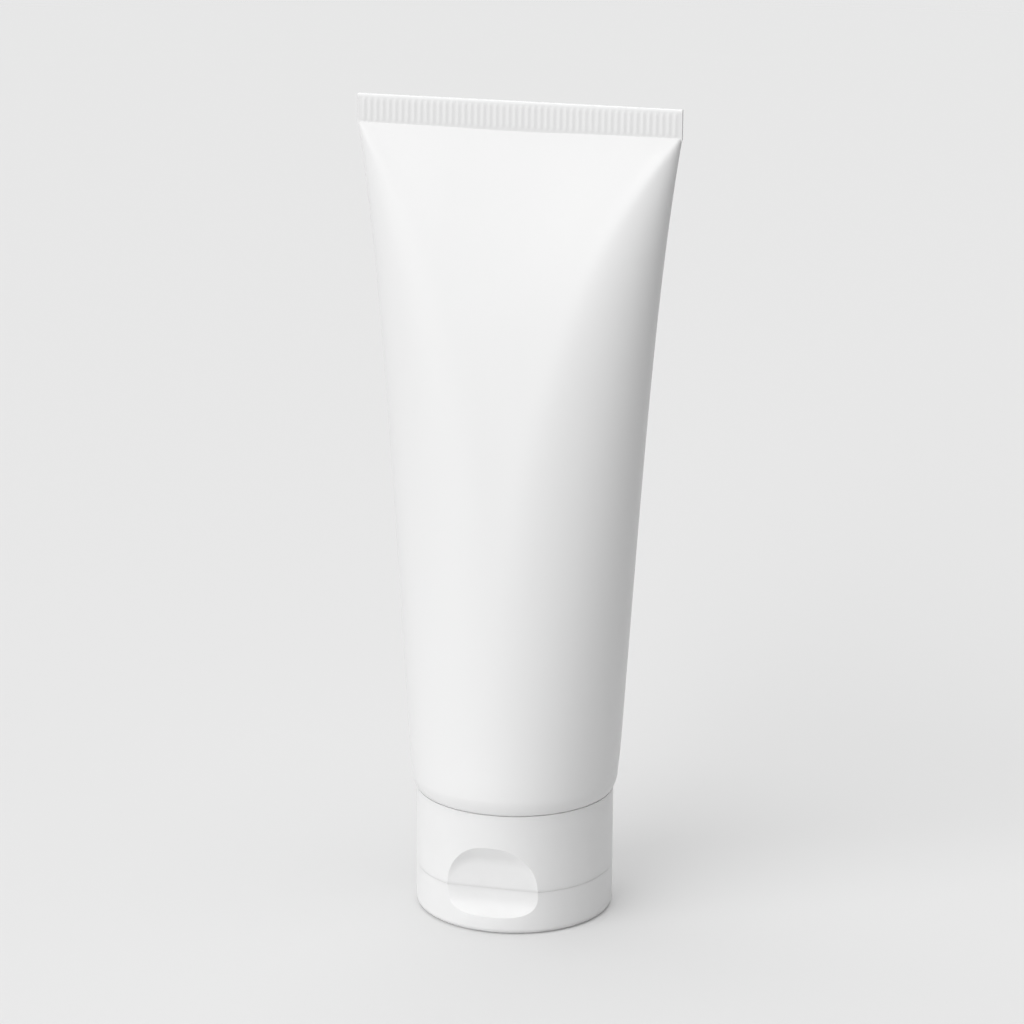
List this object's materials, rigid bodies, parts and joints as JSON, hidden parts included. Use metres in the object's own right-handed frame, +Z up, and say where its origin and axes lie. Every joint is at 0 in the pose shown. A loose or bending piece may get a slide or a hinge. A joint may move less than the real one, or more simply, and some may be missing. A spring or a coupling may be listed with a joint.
{
  "type": "skin cream tube",
  "caption": "Soft plastic squeeze tube with a flat, ribbed, crimped tail, standing on a flip-top cap whose lid turns on a film hinge and plugs the dispensing hole.",
  "frame": {"origin": "middle of the lid's flat underside, on which the tube stands", "axes": "+Z up from the lid to the crimped tail, X along the crimp, -Y towards the front with the thumb recess, +Y towards the back with the film hinge"},
  "size_m": [0.062, 0.04, 0.1582],
  "materials": {
    "sleeve_plastic": "satin white polyethylene",
    "head_plastic": "satin white polyethylene",
    "cap_plastic": "satin white polypropylene",
    "cream": "smooth moist cream"
  },
  "bodies": {
    "tube": {"tube_sleeve": "sleeve_plastic", "tube_head": "head_plastic", "cap_base": "cap_plastic", "hinge_film": "cap_plastic", "cream_fill": "cream"},
    "lid": {"flip_lid": "cap_plastic"}
  },
  "joints": [
    {"name": "lid_hinge", "type": "hinge", "parent": "tube", "child": "lid", "pos_m": [0, 0.01955, 0.0085], "axis": [1, 0, 0], "range_deg": [0, 170], "deforming": ["hinge_film"]}
  ]
}
